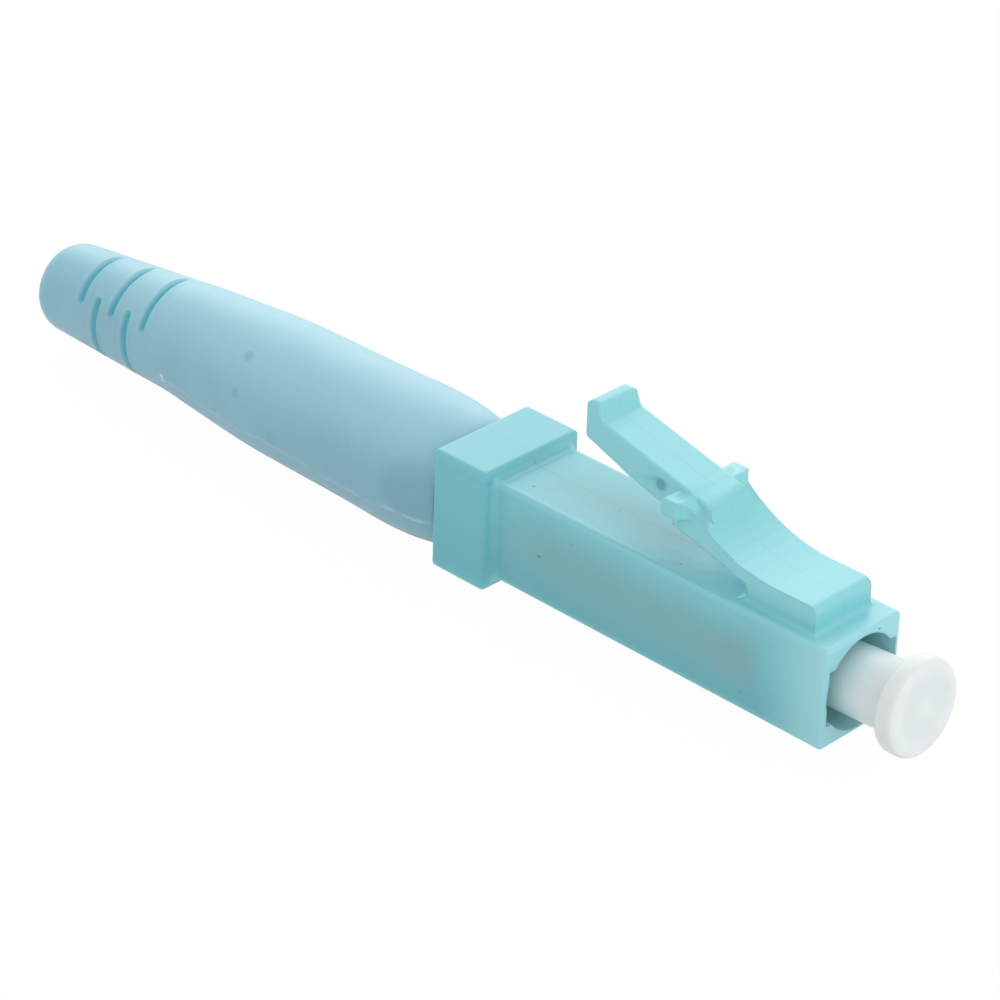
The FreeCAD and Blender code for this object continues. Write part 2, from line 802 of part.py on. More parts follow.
# ---------------------------------------------------------------- dust cap
def make_dust_cap():
    """Flanged soft cap pushed over the ferrule's tip, sitting a little out of true."""
    body = new_body("dust_cap")
    seat = "ferrule_tip - cap_engaged / 2"
    lean = f"placement(vector({seat}; 0; 0); rotation(vector(0; 0; 1); cap_lean))"
    bore = "ferrule_radius + cap_bore_gap"
    back = "-cap_engaged / 2"
    shoulder = f"cap_barrel_front - ({seat})"
    front = f"{shoulder} + cap_flange_thickness"
    sketch = new_sketch(body, "cap_outline", "XZ")
    sketch.setExpression("AttachmentOffset", linked(lean))
    closed_outline(sketch, [
        (back, f"{bore} + 0.06"),
        (back, f"cap_barrel_radius - cap_draft - cap_lead"),
        (f"{back} + cap_lead", "cap_barrel_radius - cap_draft"),
        (shoulder, "cap_barrel_radius + cap_draft"),
        (shoulder, "cap_flange_radius"),
        (front, "cap_flange_radius"),
        (front, "cap_dish_radius"),
        (f"{front} - cap_dish_depth", "cap_dish_radius - 0.15"),
        (f"{front} - cap_dish_depth", "cap_gate_radius"),
        (f"{front} - cap_dish_depth + 0.10", "cap_gate_radius - 0.08"),
        (f"{front} - cap_dish_depth + 0.10", "0"),
        ("cap_engaged / 2 + cap_end_gap", "0"),
        ("cap_engaged / 2 + cap_end_gap", bore),
        (f"{back} + 0.06", bore),
    ])
    cap = feature(body, "Revolution", "cap", sketch, ReferenceAxis=(sketch, ["H_Axis"]), Angle=360.0)
    doc.recompute()
    rim = number("cap_flange_radius")

    def rim_edges(centre, box, edge):
        return near(box.YLength, 2 * rim, 0.02)

    rounded(body, "flange_rim", cap, "cap_flange_round", rim_edges)


# ---------------------------------------------------------------- build, check and write
def build():
    make_housing()
    make_latch()
    make_ferrule()
    make_flange()
    make_guide_tube()
    make_fibre_stub()
    make_spring()
    make_rear_body()
    make_crimp_sleeve()
    make_splice()
    make_boot()
    make_dust_cap()


def check_document():
    """Stop if any feature failed or any piece is empty, invalid or in more than one lump."""
    for thing in doc.Objects:
        if "Invalid" in thing.State or "Error" in thing.State:
            raise RuntimeError(f"{thing.Label} did not build: {thing.State}")
    for body in doc.findObjects("PartDesign::Body"):
        shape = body.Shape
        if shape.isNull() or not shape.isValid() or len(shape.Solids) != 1:
            raise RuntimeError(f"{body.Label} is not one sound solid")


def write_parts():
    os.makedirs("parts", exist_ok=True)
    for body in doc.findObjects("PartDesign::Body"):
        body.Shape.exportStep(f"parts/{body.Label}.step")
        box = body.Shape.BoundBox
        print(f"{body.Label:18s} {body.Shape.Volume:9.3f} mm3"
              f"  x {box.XMin:7.2f} {box.XMax:7.2f}  y {box.YMin:6.2f} {box.YMax:6.2f}"
              f"  z {box.ZMin:6.2f} {box.ZMax:6.2f}")


build()
doc.recompute()
check_document()
write_parts()
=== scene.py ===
# %% [markdown]
# # A fibre plug with a sprung latch, a soft boot and a dust cap
#
# The solids come from CAD and are loaded as a fixed frame, in metres. The plug's axis is the X
# axis, +X runs forward to the dust cap, +Z up to the latch, and the origin is on the axis at the
# front of the square collar. This script gives every solid its finish, and makes new pieces for
# the ones that bend or that are softer than a solid can show.

# %% Load the frame
import math

import bmesh
import bpy
from mathutils import Matrix, Vector


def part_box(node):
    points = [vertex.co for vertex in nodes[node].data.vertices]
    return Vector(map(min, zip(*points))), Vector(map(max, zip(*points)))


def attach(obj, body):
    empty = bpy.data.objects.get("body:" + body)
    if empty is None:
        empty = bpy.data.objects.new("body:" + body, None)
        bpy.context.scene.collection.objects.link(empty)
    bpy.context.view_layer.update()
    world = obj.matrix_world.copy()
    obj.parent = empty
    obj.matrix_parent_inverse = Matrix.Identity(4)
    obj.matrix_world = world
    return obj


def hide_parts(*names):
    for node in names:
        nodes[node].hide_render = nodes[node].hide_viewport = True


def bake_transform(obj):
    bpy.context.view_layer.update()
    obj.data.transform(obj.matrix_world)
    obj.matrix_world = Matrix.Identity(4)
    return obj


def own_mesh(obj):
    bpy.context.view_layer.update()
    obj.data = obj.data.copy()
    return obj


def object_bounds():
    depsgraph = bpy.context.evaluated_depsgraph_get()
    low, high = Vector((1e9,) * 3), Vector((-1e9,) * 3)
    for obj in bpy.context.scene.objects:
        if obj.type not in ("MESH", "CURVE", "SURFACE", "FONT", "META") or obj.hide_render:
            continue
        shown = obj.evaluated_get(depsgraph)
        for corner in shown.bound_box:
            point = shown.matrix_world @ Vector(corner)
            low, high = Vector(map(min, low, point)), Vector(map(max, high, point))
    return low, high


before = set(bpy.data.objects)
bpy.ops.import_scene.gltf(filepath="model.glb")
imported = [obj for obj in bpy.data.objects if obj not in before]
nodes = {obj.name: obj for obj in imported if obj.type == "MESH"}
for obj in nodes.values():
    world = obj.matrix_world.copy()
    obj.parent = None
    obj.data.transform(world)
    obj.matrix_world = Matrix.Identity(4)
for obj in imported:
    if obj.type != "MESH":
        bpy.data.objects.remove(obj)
cad_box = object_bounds()
MM = 0.001

# %% [markdown]
# ## Sums on sockets
#
# A finish that varies over a surface is arithmetic on positions and noise. Each step of it is a
# Math node, and wiring dozens of them by hand hides the sum. So one small class wraps a socket and
# lets Python's own operators add the nodes, and one function adds any other node.


# %% Add a node
def wire(tree, socket, value):
    """Link an input to something that varies, or set it to something that doesn't."""
    if isinstance(value, Amount):
        value = value.socket
    if isinstance(value, bpy.types.NodeSocket):
        tree.links.new(value, socket)
    else:
        socket.default_value = value


def add_node(tree, kind, settings=None, *values, numbered=None, **named):
    """Add a node: settings first, then inputs in order, by their number or by their name."""
    made = tree.nodes.new(kind)
    for name, setting in (settings or {}).items():
        setattr(made, name, setting)
    inputs = dict(enumerate(values)) | (numbered or {})
    inputs |= {name.replace("_", " "): value for name, value in named.items()}
    for key, value in inputs.items():
        wire(tree, made.inputs[key], value)
    return made


# %% An amount that varies
class Amount:
    """A number that varies over a surface: Python's operators on it add Math nodes."""

    def __init__(self, finish, socket):
        self.finish = finish
        self.socket = socket

    def _sum(self, operation, *values):
        made = self.finish.node("ShaderNodeMath", {"operation": operation}, *values)
        return Amount(self.finish, made.outputs[0])

    def __add__(self, other):
        return self._sum("ADD", self, other)

    def __sub__(self, other):
        return self._sum("SUBTRACT", self, other)

    def __rsub__(self, other):
        return self._sum("SUBTRACT", other, self)

    def __mul__(self, other):
        return self._sum("MULTIPLY", self, other)

    def __truediv__(self, other):
        return self._sum("DIVIDE", self, other)

    def __pow__(self, other):
        return self._sum("POWER", self, other)

    __radd__ = __add__
    __rmul__ = __mul__

    def size(self):
        return self._sum("ABSOLUTE", self)

    def least(self, other):
        return self._sum("MINIMUM", self, other)

    def rise(self, low, high):
        """0 below low, 1 above high, smooth between; high may be the smaller of the two."""
        made = self.finish.node("ShaderNodeMapRange", {"interpolation_type": "SMOOTHSTEP"},
                                self, low, high, 0.0, 1.0)
        return Amount(self.finish, made.outputs[0])

    def band(self, low, high, soft):
        """1 between low and high, fading to 0 over a soft edge."""
        return self.rise(low - soft, low + soft) * self.rise(high + soft, high - soft)


# %% A finish
class Finish:
    """A material, its shader, and places on the object in millimetres."""

    def __init__(self, name, **constants):
        self.material = bpy.data.materials.new(name)
        self.material.use_nodes = True
        self.tree = self.material.node_tree
        self.shader = self.tree.nodes["Principled BSDF"]
        self.feed(**constants)
        self.place = self.node("ShaderNodeTexCoord").outputs["Object"]
        split = self.node("ShaderNodeSeparateXYZ", None, self.place)
        self.x, self.y, self.z = (Amount(self, split.outputs[i]) / MM for i in range(3))

    def node(self, kind, settings=None, *values, **named):
        return add_node(self.tree, kind, settings, *values, **named)

    def noise(self, scale, detail=2.0):
        """Noise between 0 and 1, with this many lumps a millimetre."""
        made = self.node("ShaderNodeTexNoise", None, Vector=self.place, Scale=scale / MM,
                         Detail=detail)
        return Amount(self, made.outputs["Fac"])

    def stored(self, name):
        """A number that was stored at the points of the piece."""
        made = self.node("ShaderNodeAttribute", {"attribute_name": name})
        return Amount(self, made.outputs["Fac"])

    def mix(self, amount, first, second):
        """One colour going to another as the amount goes from 0 to 1."""
        made = self.node("ShaderNodeMix", {"data_type": "RGBA"},
                         numbered={0: amount, 6: first, 7: second})
        return made.outputs[2]

    def bump(self, height, strength, distance, **named):
        """Relief of this many millimetres where the height is 1."""
        made = self.node("ShaderNodeBump", None, Strength=strength, Distance=distance * MM,
                         Height=height, **named)
        return made.outputs["Normal"]

    def feed(self, **inputs):
        """Set or link inputs of the shader, and hand the material over."""
        for name, value in inputs.items():
            wire(self.tree, self.shader.inputs[name.replace("_", " ")], value)
        return self.material


# %% Colours, and who wears what
def rgb(red, green, blue):
    """A colour as seen on a screen, 0 to 255, in the linear values that the shader takes."""
    def linear(part):
        part = part / 255
        return part / 12.92 if part <= 0.04045 else ((part + 0.055) / 1.055) ** 2.4
    return (linear(red), linear(green), linear(blue), 1.0)


def wear(node, material):
    """Give a CAD solid this finish."""
    for place in nodes[node].material_slots:
        place.material = material
    print(node, "wears", material.name)


# %% [markdown]
# ## Aqua moulding
#
# On the real plug the body and latch are one moulding in a slightly milky aqua plastic with a
# satin polish. Light soaks in and comes out again, so thin places are lighter, edges have a pale
# line, and the metal parts inside show through the walls as a soft grey shade. See-through walls
# would do this, but they are slow and noisy, and an export loses them. Light under the surface
# would do it too, but it draws a dark line where the latch's solid meets the body's, and a moulding
# has no such line. So all of it is painted into the colour as painted light and shade, at the
# places of the solids that cause it, and so are the light from above, highlights along the corners
# and the shade in the tab's dimple and on the body's top under the latch.


# %% Places on the moulding
def span(node):
    """Where a solid begins and ends along the plug, in millimetres."""
    low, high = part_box(node)
    return low[0] / MM, high[0] / MM


MOUTH = span("housing")[1]
LATCH_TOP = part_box("latch_lever")[1][2] / MM
HALF_WIDE, HALF_HIGH = 2.25, 2.30
METAL_BACK, METAL_FRONT = -0.4, 15.2
FLANGE_BACK, FLANGE_FRONT = 12.2, 14.3
ROOT_FRONT, ROOT_BACK, ROOT_FOOT = 12.80, 11.20, 2.9
print("the mouth is at", round(MOUTH, 2), "and the latch's top at", round(LATCH_TOP, 2), "mm")

# %% Colours of the moulding
# painted light and shade: the top-lit, metal shade, thin wall, latch, edge, corner highlight, glow,
# mouth and dimple colours; the specks and the seam are real marks
DEEP_AQUA, TOP_LIT_AQUA = rgb(91, 167, 178), rgb(113, 188, 196)
METAL_SHADE_AQUA, COLLAR_AQUA = rgb(109, 164, 169), rgb(95, 177, 189)
THIN_WALL_LIGHT_AQUA, LIT_LATCH_AQUA, MOUTH_LIGHT_AQUA = rgb(146, 207, 214), rgb(128, 200, 207), rgb(192, 240, 243)
EDGE_LIGHT_AQUA, CORNER_HIGHLIGHT_AQUA, GLOW_AQUA = rgb(142, 208, 215), rgb(186, 230, 235), rgb(140, 226, 233)
SPECK, SHADE_IN_DIMPLE, SEAM = rgb(70, 110, 112), rgb(78, 140, 150), rgb(86, 152, 160)


# %% Corners of the moulding
def latch_joint(finish):
    """1 where the latch grows out of the plug: one surface there, though two solids meet."""
    near = (finish.x - ROOT_FRONT).size().rise(0.32, 0.2)
    return near * finish.z.rise(ROOT_FOOT, ROOT_FOOT + 0.2)


def directions(finish, radius):
    """Which way the surface faces with its corners rounded, and as it is."""
    rounded = finish.node("ShaderNodeBevel", {"samples": 6}, Radius=radius * MM)
    plain = finish.node("ShaderNodeNewGeometry")
    return rounded.outputs["Normal"], plain.outputs["Normal"]


def rounded_corners(finish, radius):
    """The rounded direction everywhere but at the latch's joint."""
    rounded, plain = directions(finish, radius)
    blend = finish.node("ShaderNodeMix", {"data_type": "VECTOR"},
                        numbered={0: latch_joint(finish), 4: rounded, 5: plain})
    return blend.outputs[1]


def corner_line(finish, radius):
    """1 on a sharp corner, 0 on a flat face: how far rounding would turn the surface."""
    same = finish.node("ShaderNodeVectorMath", {"operation": "DOT_PRODUCT"},
                       *directions(finish, radius))
    turned = 1 - Amount(finish, same.outputs["Value"])
    return turned.rise(0.01, 0.16) * (1 - latch_joint(finish))


# %% Painted light and shade in the body's colour
def paint_body_light_and_shade(finish):
    """Aqua with deeper clouds at random, painted light from above and through the thin mouth and
    latch, and painted shade of the metal inside and under the latch.
    """
    x, z = finish.x, finish.z
    across, high = finish.y.size(), finish.z.size()
    # painted light from above: deeper towards the bottom, paler towards the top
    colour = finish.mix(z.rise(-2.6, 2.4), DEEP_AQUA, TOP_LIT_AQUA)
    cloud = finish.noise(0.45)
    colour = finish.mix(cloud.rise(0.35, 0.75) * 0.18, colour, DEEP_AQUA)
    # painted shade of the spring, the rear body and the flange's head, seen through the flanks and
    # the top
    behind_flank = high.rise(2.0, 0.2) * across.rise(1.9, 2.2)
    below_top = z.rise(1.9, 2.2) * across.rise(1.7, 0.0) * x.rise(10.4, 7.0) * 0.9
    inside = (behind_flank + below_top) * z.rise(2.75, 2.45)
    along = x.rise(METAL_BACK, METAL_BACK + 4.2) * x.rise(METAL_FRONT, METAL_FRONT - 1.6) * 0.8
    along = along + x.band(FLANGE_BACK, FLANGE_FRONT, 0.6) * 0.25
    lumps = 0.85 + cloud.rise(0.3, 0.7) * 0.15
    colour = finish.mix((inside * along * lumps).least(1.0), colour, METAL_SHADE_AQUA)
    # painted shade on the body's top under the latch; painted light through the thin mouth and
    # latch
    colour = finish.mix(z.band(2.25, 2.4, 0.04) * x.rise(14.0, 12.0) * 0.4, colour, DEEP_AQUA)
    colour = finish.mix(x.rise(14.2, 18.2) * z.rise(2.5, 2.2), colour, THIN_WALL_LIGHT_AQUA)
    colour = finish.mix(z.rise(2.35, 3.3) * 0.95, colour, LIT_LATCH_AQUA)
    return finish.mix(x.rise(0.05, -0.1) * 0.6, colour, COLLAR_AQUA)


# %% Painted light in edges and corners
def paint_light(finish, colour):
    """Painted light: pale bands along the body's edges, a glow where soaked-in light comes out
    again, highlights along sharp corners, and light inside the mouth.
    """
    x, across, high = finish.x, finish.y.size(), finish.z.size()
    # painted light: pale bands along the body's edges
    edge = across.rise(HALF_WIDE - 0.42, HALF_WIDE) * high.rise(HALF_HIGH - 0.42, HALF_HIGH)
    edge = edge * across.rise(HALF_WIDE + 0.2, HALF_WIDE + 0.02)
    edge = edge * high.rise(HALF_HIGH + 0.3, HALF_HIGH + 0.02)
    colour = finish.mix(edge * 0.45, colour, EDGE_LIGHT_AQUA)
    # painted glow in concave corners, where soaked-in light comes out again
    open_sky = finish.node("ShaderNodeAmbientOcclusion", {"samples": 6}, Distance=2.0 * MM)
    corner = 1 - Amount(finish, open_sky.outputs["AO"])
    colour = finish.mix(corner.rise(0.12, 0.75) * 0.9, colour, GLOW_AQUA)
    # painted highlights along sharp corners that stand in the open
    line = corner_line(finish, 0.07) * corner.rise(0.5, 0.2)
    colour = finish.mix(line * 0.5, colour, CORNER_HIGHLIGHT_AQUA)
    # painted light inside the mouth, round the cap
    mouth_light = across.rise(HALF_WIDE - 0.13, HALF_WIDE - 0.21)
    mouth_light = mouth_light * high.rise(HALF_HIGH - 0.10, HALF_HIGH - 0.18)
    mouth_light = mouth_light * x.rise(13.5, 16.0) * x.rise(MOUTH - 0.01, MOUTH - 0.08)
    return finish.mix(mouth_light * 0.85, colour, MOUTH_LIGHT_AQUA)


# %% Specks
def spot(finish, place, radius):
    """1 at a place on the plug, in millimetres, fading to 0 at this distance from it."""
    away = finish.node("ShaderNodeVectorMath", {"operation": "DISTANCE"}, finish.place,
                       [part * MM for part in place])
    return (Amount(finish, away.outputs["Value"]) / MM).rise(radius, radius * 0.45)


def paint_spots(finish, colour, spots, strength, paint):
    """Put a soft dot of paint of its own radius at each place."""
    for place, radius in spots.items():
        colour = finish.mix(spot(finish, place, radius) * strength, colour, paint)
    return colour


SPECKS = {(1.35, -1.35, 2.3): 0.096, (2.6, -2.25, -0.13): 0.104, (5.1, -0.2, 2.3): 0.056,
          (9.6, -1.5, 2.3): 0.064, (7.35, -1.16, 5.6): 0.0352, (17.93, 0.9, 2.05): 0.072,
          (4.4, -2.25, 1.2): 0.048, (13.7, -2.25, -1.5): 0.048}
TAB_DIMPLE = {(8.05, -1.18, 5.15): 0.34}


# %% Aqua moulding
def make_aqua_moulding():
    finish = Finish("aqua_moulding", Roughness=0.34, Specular_IOR_Level=0.7)
    colour = paint_light(finish, paint_body_light_and_shade(finish))
    colour = paint_spots(finish, colour, SPECKS, 0.85, SPECK)
    # painted shade in the tab's dimple
    colour = paint_spots(finish, colour, TAB_DIMPLE, 0.4, SHADE_IN_DIMPLE)
    # the hairline where the two halves of the mould met, strongest on the body's top
    seam = finish.y.size().rise(0.036, 0.012) * finish.z.rise(2.2, 2.28)
    on_top = finish.z.rise(2.5, 2.4) * finish.x.rise(13.6, 12.6)
    colour = finish.mix(seam * (0.14 + on_top * 0.45), colour, SEAM)
    grain = finish.noise(5.0, 3.0)
    # the top's skin is rippled below the latch
    ripple = finish.noise(2.6, 1.0) * finish.x.band(8.0, 12.4, 0.8) * finish.y.rise(-0.4, -0.9)
    ripple = ripple * finish.z.band(2.2, 2.4, 0.05)
    relief = grain * 0.12 + ripple * 0.9 - seam * 0.3
    return finish.feed(Base_Color=colour, Roughness=0.29 + grain * 0.10,
                       Normal=finish.bump(relief, 0.35, 0.03, Normal=rounded_corners(finish, 0.13)))


AQUA = make_aqua_moulding()
wear("housing", AQUA)


# %% [markdown]
# ## The latch
#
# The latch is a long spring that grows out of the top of the plug and bends when a thumb pushes its
# tab down. In the CAD model it is a stiff lever on a hinge, which would open a crack at its root.
# Here its solid is copied, its loose triangles are merged, and extra cuts are put across its root,
# so that the root can bend between the plug and the lever instead of breaking. A modelled sheet
# with a thickness would do it too, but the copy keeps the measured lugs and tab.


# %% From a solid to a piece
def merged_copy(node):
    shape = bmesh.new()
    shape.from_mesh(nodes[node].data)
    bmesh.ops.remove_doubles(shape, verts=shape.verts, dist=2e-6)
    return shape


def finished(name, shape, material, sharp):
    """Turn a bmesh in metres into a piece with smooth faces and sharp corners above an angle."""
    mesh = bpy.data.meshes.new(name)
    shape.to_mesh(mesh)
    shape.free()
    mesh.shade_smooth()
    mesh.set_sharp_from_angle(angle=math.radians(sharp))
    mesh.materials.append(material)
    piece = bpy.data.objects.new(name, mesh)
    bpy.context.scene.collection.objects.link(piece)
    print(name, "has", len(mesh.polygons), "faces")
    return piece


def cut_across(shape, faces, place, direction):
    """Cut these faces where they cross a plane."""
    around = dict.fromkeys(part for face in faces for part in (*face.verts, *face.edges))
    bmesh.ops.bisect_plane(shape, geom=[*faces, *around], dist=1e-7, plane_co=place,
                           plane_no=direction)


# %% Cuts across the latch's root, and beside its lugs
ALONG, ACROSS, UP = (1, 0, 0), (0, 1, 0), (0, 0, 1)
ROOT_CUTS = 10
LUG_ENDS, LUG_HEIGHTS = (8.60, 10.15), (4.40, 5.55)
latch_shape = merged_copy("latch_lever")
for i in range(ROOT_CUTS):
    x = ROOT_FRONT + (ROOT_BACK - ROOT_FRONT) * (i + 0.5) / ROOT_CUTS
    cut_across(latch_shape, latch_shape.faces[:], (x * MM, 0, 0), ALONG)
# a flat face's shading turns only near the lugs' rounds if its triangles are small there
for x in LUG_ENDS:
    cut_across(latch_shape, latch_shape.faces[:], (x * MM, 0, 0), ALONG)
for z in LUG_HEIGHTS:
    cut_across(latch_shape, latch_shape.faces[:], (0, 0, z * MM), UP)
print("the latch has", len(latch_shape.faces), "faces after its cuts")

# %% [markdown]
# The thumb lip is a soft little wall whose two ends are well rounded, so that it doesn't bite. The
# bevel operator can't round them here, because the ends already carry small rounds of their own. So
# the lip gets a row of cuts near each end, and the points outside a quarter circle are pulled in.


# %% Round the ends of the thumb lip
def round_ends(shape, side, top, radius, foot):
    """Round the two top corners, seen from the front, of what stands above a foot height."""
    for part in (0.0, 0.12, 0.3, 0.5, 0.72, 0.9):
        inward = radius * (1 - math.sin(part * math.pi / 2))
        for place, direction in (((0, (side - inward) * MM, 0), ACROSS),
                                 ((0, (inward - side) * MM, 0), ACROSS),
                                 ((0, 0, (top - inward) * MM), UP)):
            tall = [face for face in shape.faces
                    if max(vert.co.z for vert in face.verts) > foot * MM]
            cut_across(shape, tall, place, direction)
    moved = 0
    for vert in shape.verts:
        out, up = abs(vert.co.y) / MM - (side - radius), vert.co.z / MM - (top - radius)
        away = math.hypot(out, up)
        if out > 0 and up > 0 and away > radius:
            vert.co.y = math.copysign((side - radius + out * radius / away) * MM, vert.co.y)
            vert.co.z = (top - radius + up * radius / away) * MM
            moved += 1
    print("rounded the thumb lip's ends with", moved, "points")


LIP_SIDE, LIP_ROUND, LIP_FOOT = 1.18, 0.36, 6.40
round_ends(latch_shape, LIP_SIDE, LATCH_TOP, LIP_ROUND, LIP_FOOT)
bmesh.ops.triangulate(latch_shape, faces=latch_shape.faces)

# %% The latch as one piece, its flat faces kept flat
latch = finished("sprung_latch", latch_shape, AQUA, sharp=24.0)
flat_faces = latch.modifiers.new("flat_faces", "WEIGHTED_NORMAL")
flat_faces.weight = 100
flat_faces.keep_sharp = True
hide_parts("latch_lever")
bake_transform(latch)
print("the latch bends over", round(ROOT_FRONT - ROOT_BACK, 2), "mm")


# %% [markdown]
# ## Turned shapes
#
# The boot and the cap are round about an axis. A few points give half of the outline, each run is
# divided into steps, smoothing takes the corners off, and one full spin makes the body. The maths
# is in millimetres and the shape is scaled to metres at the end.


# %% Divide an outline and spin it
def divided_outline(outline, steps, drop):
    """A closed outline of (x, radius) points about an axis this far up, each run in its steps."""
    shape = bmesh.new()
    corners = [shape.verts.new((x, 0, drop + radius)) for x, radius in outline]
    runs = [shape.edges.new(pair) for pair in zip(corners, corners[1:] + corners[:1])]
    for run, step in zip(runs, steps, strict=True):
        cuts = max(0, round(run.calc_length() / step) - 1)
        if cuts:
            bmesh.ops.subdivide_edges(shape, edges=[run], cuts=cuts)
    return shape


def spin_outline(shape, drop, turns):
    """Spin the outline a full turn, and clear away the edges that lie on the axis."""
    bmesh.ops.spin(shape, geom=shape.verts[:] + shape.edges[:], cent=(0, 0, drop), axis=ALONG,
                   dvec=(0, 0, 0), angle=2 * math.pi, steps=turns, use_merge=True,
                   use_normal_flip=False, use_duplicate=False)
    bmesh.ops.remove_doubles(shape, verts=shape.verts, dist=1e-4)
    on_axis = [edge for edge in shape.edges if not edge.link_faces]
    bmesh.ops.delete(shape, geom=on_axis, context="EDGES")
    bmesh.ops.recalc_face_normals(shape, faces=shape.faces)
    print("spun", len(shape.faces), "faces, open edges:",
          sum(not edge.is_manifold for edge in shape.edges))


# %% [markdown]
# ## Soft boot
#
# The boot is a long sleeve in a softer, bluer rubber. It is full over the crimped end, narrows to a
# neck, and droops a little where it is only held by itself. Staggered slots near its end let it
# bend with the cable. They are soft-lipped grooves, so they are pushed into the skin by moving
# points, as a thumb would in clay, rather than cut with a sharp tool. Each point keeps how deep it
# was pushed, and the finish uses that to colour the grooves.

# %% The boot's outline
BOOT_DROP = -0.10
TAIL_BORE, CAVITY, CRIMP_BORE = 1.55, 1.75, 2.22
SKIN = [(-3.07, 2.64), (-3.40, 2.84), (-3.80, 2.97), (-4.53, 3.11), (-5.26, 3.185),
        (-6.0, 3.225), (-6.74, 3.232), (-7.48, 3.21), (-8.22, 3.17), (-10.32, 3.13),
        (-12.4, 3.105), (-14.52, 3.075), (-15.69, 3.025), (-16.86, 2.945), (-18.02, 2.845),
        (-20.0, 2.69), (-21.0, 2.59), (-27.2, 2.215), (-28.86, 2.11), (-29.12, 2.06),
        (-29.40, 1.93), (-29.58, 1.75), (-29.65, 1.62)]
BORE = [(-29.62, 1.555), (-29.4, TAIL_BORE), (-20.4, TAIL_BORE), (-20.2, CAVITY), (-7.8, CAVITY),
        (-7.7, CRIMP_BORE), (-3.07, CRIMP_BORE)]
FULL_STEP, SLOTTED_STEP, TAIL_STEP = 0.24, 0.055, 0.08
BORE_STEPS = [0.1, 1.0, 2.0, 2.0, 4.0, 1.0, 4.0]
steps = [FULL_STEP] * 16 + [SLOTTED_STEP] + [TAIL_STEP] * 6 + BORE_STEPS
boot_shape = divided_outline(SKIN + BORE, steps, BOOT_DROP)
between_ends = [vert for vert in boot_shape.verts if -28.9 < vert.co.x < -3.3
                and vert.co.z - BOOT_DROP > CRIMP_BORE + 0.02]
for _ in range(6):
    bmesh.ops.smooth_vert(boot_shape, verts=between_ends, factor=0.5, use_axis_x=False,
                          use_axis_y=True, use_axis_z=True)
spin_outline(boot_shape, BOOT_DROP, 256)

# %% [markdown]
# The slots come in five staggered rows round the tail, two slots to a row, each a little longer
# than a quarter turn. Every other row faces up and down and the ones between face the sides. A
# thin ridge, the flash, runs along each flank where the mould's halves let some rubber through.

# %% Measures of the slots
SLOT_FIRST, SLOT_PITCH, SLOT_ROWS = -21.87, -1.09, 5
SLOT_HALF_ARC, FAR_END_FADE = 53.5, 2.4
EVEN_ROWS_FACE, ODD_ROWS_FACE = 74.0, -16.0
SLOT_DEPTH, SLOT_SOFT, LIP_HIGH = 0.25, 0.25, 0.04
FLASH_HIGH, FLASH_HALF_WIDE = 0.03, 0.13


def eased(amount):
    amount = min(1.0, max(0.0, amount))
    return amount * amount * (3 - 2 * amount)


# %% How deep a slot is
def slot_depth(x, angle, radius):
    """How deep the nearest slot is here, and how far its lip stands up, both 0 to 1."""
    row = min(SLOT_ROWS - 1, max(0, round((x - SLOT_FIRST) / SLOT_PITCH)))
    even = row % 2 == 0
    centre = EVEN_ROWS_FACE if even else ODD_ROWS_FACE
    turn = (angle - centre + 90) % 180 - 90
    to_end = math.radians(SLOT_HALF_ARC - abs(turn)) * radius
    to_far_end = math.radians(SLOT_HALF_ARC - (turn if even else -turn)) * radius
    fade = eased(to_far_end / FAR_END_FADE)
    wander = 0.03 * math.sin(angle * 0.05 + row * 2.1)
    across = abs(x - SLOT_FIRST - row * SLOT_PITCH - wander)
    if to_end < SLOT_SOFT:
        across = math.hypot(across, SLOT_SOFT - to_end)
    depth = eased((SLOT_SOFT - across) / (SLOT_SOFT - 0.05)) * fade
    return depth, fade * math.exp(-((across - SLOT_SOFT - 0.02) / 0.10) ** 2)


def flash_line(x, angle, radius):
    """The thin ridge that the mould's join left along the boot's side, 0 to 1."""
    line = -17.0 + 1.3 * math.sin(x * 0.9) + 0.8 * math.sin(x * 2.3 + 1.0)
    away = math.radians(abs(angle - line)) * radius
    return eased(1 - away / FLASH_HALF_WIDE) * eased((x + 20.9) / 0.8)


# %% Press the slots in and pull the flash out
dent_layer = boot_shape.verts.layers.float.new("dent")
flash_layer = boot_shape.verts.layers.float.new("flash")
pressed = 0
for vert in boot_shape.verts:
    x, y, z = vert.co
    out = Vector((0, y, z - BOOT_DROP))
    radius = out.length
    if radius < 1.98:
        continue
    out.normalize()
    angle = math.degrees(math.atan2(out.z, -out.y))
    far_angle = math.degrees(math.atan2(-out.z, out.y))
    depth, lip = slot_depth(x, angle, radius) if -27.0 < x < -21.2 else (0.0, 0.0)
    flash = max(flash_line(x, angle, radius), flash_line(x, far_angle, radius))
    vert[dent_layer] = depth
    vert[flash_layer] = flash
    vert.co += out * ((LIP_HIGH * lip + FLASH_HIGH * flash) * (1 - depth) - SLOT_DEPTH * depth)
    pressed += depth > 0
print("pressed slots into", pressed, "points")

# %% The boot's droop
BEND, BEND_HALF, DROOP = -20.52, 0.9, math.radians(3.0)
pivot = Vector((BEND, 0, BOOT_DROP))
for vert in boot_shape.verts:
    turn = DROOP * eased((BEND + BEND_HALF - vert.co.x) / (2 * BEND_HALF))
    vert.co = pivot + Matrix.Rotation(-turn, 3, "Y") @ (vert.co - pivot)
bmesh.ops.scale(boot_shape, vec=(MM, MM, MM), verts=boot_shape.verts)
print("the boot droops", round(math.degrees(DROOP), 1), "degrees behind", BEND, "mm")

